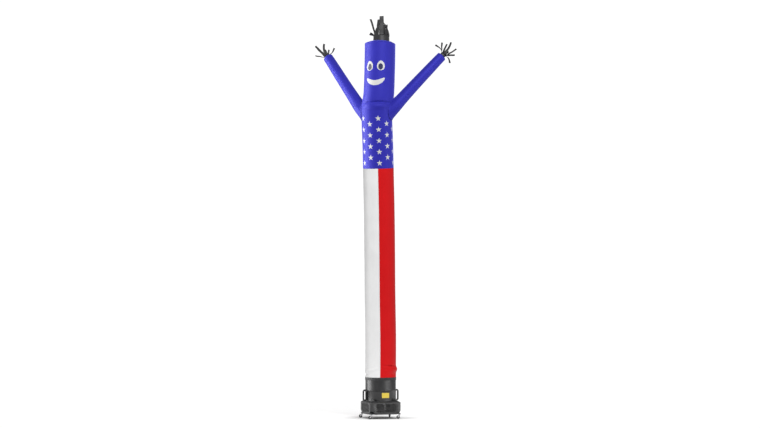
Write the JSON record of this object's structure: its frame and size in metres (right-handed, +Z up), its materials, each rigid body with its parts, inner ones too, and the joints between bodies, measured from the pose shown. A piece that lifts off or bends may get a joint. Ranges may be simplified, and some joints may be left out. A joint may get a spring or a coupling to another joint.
{
  "type": "inflatable air dancer on a blower",
  "caption": "Tall inflatable cloth tube figure with raised sleeve arms, striped below and starred above, black streamers at its vents, strapped to a square blower on swivel castors",
  "frame": {"origin": "on the floor, under the middle of the whole object's footprint with its streamers", "axes": "+Z up along the tube, -Y the way the printed face looks, +X to the viewer's right when facing it"},
  "size_m": [2.1984, 0.7912, 5.9859],
  "materials": {
    "white_nylon": "satin",
    "red_nylon": "satin",
    "blue_nylon": "satin",
    "black_nylon": "satin",
    "black_plastic": "satin",
    "yellow_label": "satin",
    "grille_steel": "satin",
    "motor_steel": "satin",
    "castor_zinc": "satin",
    "wheel_rubber": "matte"
  },
  "bodies": {
    "dancer": {"stripe_white_front": "white_nylon", "stripe_red_right": "red_nylon", "stripe_white_back": "white_nylon", "stripe_red_left": "red_nylon", "star_tube": "blue_nylon", "sleeve_right": "blue_nylon", "sleeve_left": "blue_nylon", "crown": "blue_nylon", "streamers_crown": "black_nylon", "streamers_right": "black_nylon", "streamers_left": "black_nylon", "hem_strap": "black_nylon", "outlet_barrel": "black_plastic", "base_housing": "black_plastic", "floor_plate": "black_plastic", "corner_knob_1": "black_plastic", "corner_knob_2": "black_plastic", "corner_knob_3": "black_plastic", "corner_knob_4": "black_plastic", "handle_left": "black_plastic", "handle_right": "black_plastic", "power_gland": "black_plastic", "blank_label": "yellow_label", "inlet_grille_1": "grille_steel", "inlet_grille_2": "grille_steel", "inlet_grille_3": "grille_steel", "inlet_grille_4": "grille_steel", "motor": "motor_steel", "castor_mount_near": "castor_zinc", "castor_mount_right": "castor_zinc", "castor_mount_far": "castor_zinc", "castor_mount_left": "castor_zinc"},
    "fork_near": {"castor_fork_near": "castor_zinc"},
    "fork_right": {"castor_fork_right": "castor_zinc"},
    "fork_far": {"castor_fork_far": "castor_zinc"},
    "fork_left": {"castor_fork_left": "castor_zinc"},
    "wheel_near": {"castor_wheel_near": "wheel_rubber"},
    "wheel_right": {"castor_wheel_right": "wheel_rubber"},
    "wheel_far": {"castor_wheel_far": "wheel_rubber"},
    "wheel_left": {"castor_wheel_left": "wheel_rubber"}
  },
  "joints": [
    {"name": "swivel_near", "type": "hinge", "parent": "dancer", "child": "fork_near", "pos_m": [-0.0175, -0.34381, 0.058], "axis": [0, 0, 1], "continuous": true},
    {"name": "swivel_right", "type": "hinge", "parent": "dancer", "child": "fork_right", "pos_m": [0.34027, -0.08768, 0.058], "axis": [0, 0, 1], "continuous": true},
    {"name": "swivel_far", "type": "hinge", "parent": "dancer", "child": "fork_far", "pos_m": [0.08414, 0.27009, 0.058], "axis": [0, 0, 1], "continuous": true},
    {"name": "swivel_left", "type": "hinge", "parent": "dancer", "child": "fork_left", "pos_m": [-0.27363, 0.01396, 0.058], "axis": [0, 0, 1], "continuous": true},
    {"name": "roll_near", "type": "hinge", "parent": "fork_near", "child": "wheel_near", "pos_m": [-0.03485, -0.35154, 0.02568], "axis": [0.4067, -0.9135, 0], "continuous": true},
    {"name": "roll_right", "type": "hinge", "parent": "fork_right", "child": "wheel_right", "pos_m": [0.32156, -0.09097, 0.02568], "axis": [0.1736, -0.9848, 0], "continuous": true},
    {"name": "roll_far", "type": "hinge", "parent": "fork_far", "child": "wheel_far", "pos_m": [0.08808, 0.2515, 0.02568], "axis": [0.9781, 0.2079, 0], "continuous": true},
    {"name": "roll_left", "type": "hinge", "parent": "fork_left", "child": "wheel_left", "pos_m": [-0.29262, 0.01329, 0.02568], "axis": [0.0349, -0.9994, 0], "continuous": true}
  ]
}
